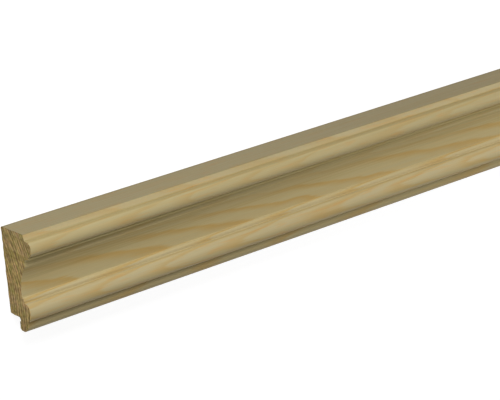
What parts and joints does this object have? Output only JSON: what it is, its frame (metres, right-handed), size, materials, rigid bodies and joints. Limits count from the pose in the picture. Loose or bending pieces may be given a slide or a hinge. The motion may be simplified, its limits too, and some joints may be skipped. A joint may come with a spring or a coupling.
{
  "type": "picture frame moulding",
  "caption": "Straight raw pine moulding with beads, a cove and a rebated lip, cut and mitred to make picture frames.",
  "frame": {"origin": "middle of the length and width, on the plane of the back face", "axes": "+X along the length, +Y across the face towards the outer edge, +Z from the back face towards the moulded face"},
  "size_m": [2.4, 0.04, 0.02],
  "materials": {
    "raw_pine": "planed, untreated"
  },
  "bodies": {
    "root": {"frame_moulding": "raw_pine"}
  },
  "joints": []
}
